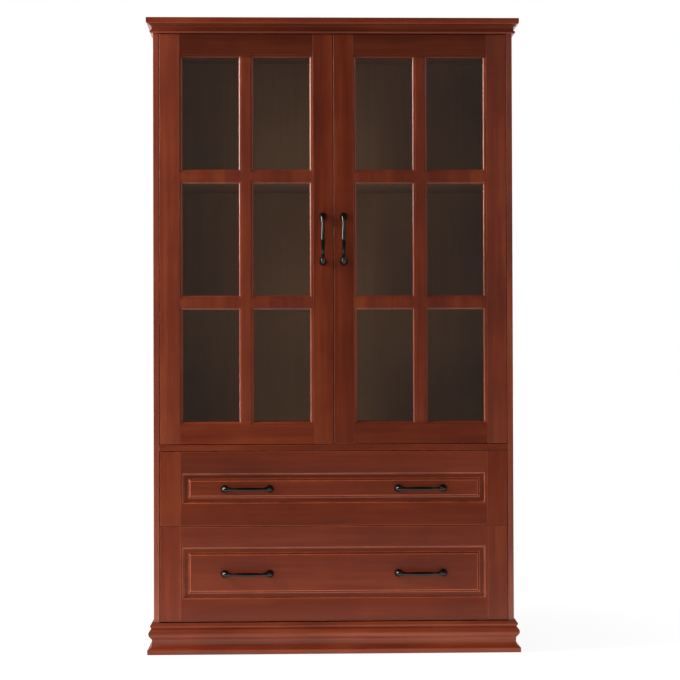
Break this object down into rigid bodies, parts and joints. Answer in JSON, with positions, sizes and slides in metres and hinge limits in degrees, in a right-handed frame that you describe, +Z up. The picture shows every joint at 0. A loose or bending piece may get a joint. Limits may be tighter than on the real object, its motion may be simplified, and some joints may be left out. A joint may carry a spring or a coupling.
{
  "type": "china cabinet",
  "caption": "Tall free-standing display cabinet: glazed muntin doors over wide drawers, with moulded cornice and plinth and bow handles.",
  "frame": {"origin": "on the floor, at the middle of the cabinet's overall box", "axes": "+X to the cabinet's right as one faces it, -Y to the front, +Z up"},
  "size_m": [1.055, 0.428, 1.795],
  "materials": {
    "stained_wood": "satin cherry-red-brown stain and lacquer",
    "inside_wood": "matt brown stain on the inner boards",
    "drawer_wood": "clear-sealed pale wood",
    "black_metal": "satin black",
    "hinge_steel": "nickel plated",
    "clear_glass": "clear polished"
  },
  "bodies": {
    "carcass": {"plinth_front": "stained_wood", "plinth_left": "stained_wood", "plinth_right": "stained_wood", "plinth_back": "inside_wood", "cornice_front": "stained_wood", "cornice_left": "stained_wood", "cornice_right": "stained_wood", "cornice_board": "stained_wood", "side_left": "stained_wood", "side_right": "stained_wood", "back_panel": "inside_wood", "bottom_panel": "inside_wood", "middle_panel": "stained_wood", "top_panel": "inside_wood", "lower_shelf": "inside_wood", "upper_shelf": "inside_wood", "left_side_lower_hinge_arm": "hinge_steel", "left_side_upper_hinge_arm": "hinge_steel", "lower_drawer_left_runner": "drawer_wood", "upper_drawer_left_runner": "drawer_wood", "right_side_lower_hinge_arm": "hinge_steel", "right_side_upper_hinge_arm": "hinge_steel", "lower_drawer_right_runner": "drawer_wood", "upper_drawer_right_runner": "drawer_wood"},
    "left_door": {"left_door_hinge_stile": "stained_wood", "left_door_meeting_stile": "stained_wood", "left_door_top_rail": "stained_wood", "left_door_bottom_rail": "stained_wood", "left_door_muntin_grille": "stained_wood", "left_door_glass": "clear_glass", "left_door_handle": "black_metal", "left_door_lower_hinge_cup": "hinge_steel", "left_door_upper_hinge_cup": "hinge_steel"},
    "right_door": {"right_door_hinge_stile": "stained_wood", "right_door_meeting_stile": "stained_wood", "right_door_top_rail": "stained_wood", "right_door_bottom_rail": "stained_wood", "right_door_muntin_grille": "stained_wood", "right_door_glass": "clear_glass", "right_door_handle": "black_metal", "right_door_lower_hinge_cup": "hinge_steel", "right_door_upper_hinge_cup": "hinge_steel"},
    "upper_drawer": {"upper_drawer_front_panel": "stained_wood", "upper_drawer_front_left_stile": "stained_wood", "upper_drawer_left_side": "drawer_wood", "upper_drawer_left_handle": "black_metal", "upper_drawer_front_right_stile": "stained_wood", "upper_drawer_right_side": "drawer_wood", "upper_drawer_right_handle": "black_metal", "upper_drawer_bottom": "drawer_wood", "upper_drawer_back": "drawer_wood"},
    "lower_drawer": {"lower_drawer_front_panel": "stained_wood", "lower_drawer_front_left_stile": "stained_wood", "lower_drawer_left_side": "drawer_wood", "lower_drawer_left_handle": "black_metal", "lower_drawer_front_right_stile": "stained_wood", "lower_drawer_right_side": "drawer_wood", "lower_drawer_right_handle": "black_metal", "lower_drawer_bottom": "drawer_wood", "lower_drawer_back": "drawer_wood"}
  },
  "joints": [
    {"name": "left_door_hinge", "type": "hinge", "parent": "carcass", "child": "left_door", "pos_m": [-0.491, -0.186, 1.1704], "axis": [0, 0, -1], "range_deg": [0, 105]},
    {"name": "right_door_hinge", "type": "hinge", "parent": "carcass", "child": "right_door", "pos_m": [0.491, -0.186, 1.1704], "axis": [0, 0, 1], "range_deg": [0, 105]},
    {"name": "upper_drawer_slide", "type": "slide", "parent": "carcass", "child": "upper_drawer", "axis": [0, -1, 0], "range_m": [0, 0.28]},
    {"name": "lower_drawer_slide", "type": "slide", "parent": "carcass", "child": "lower_drawer", "axis": [0, -1, 0], "range_m": [0, 0.28]}
  ]
}
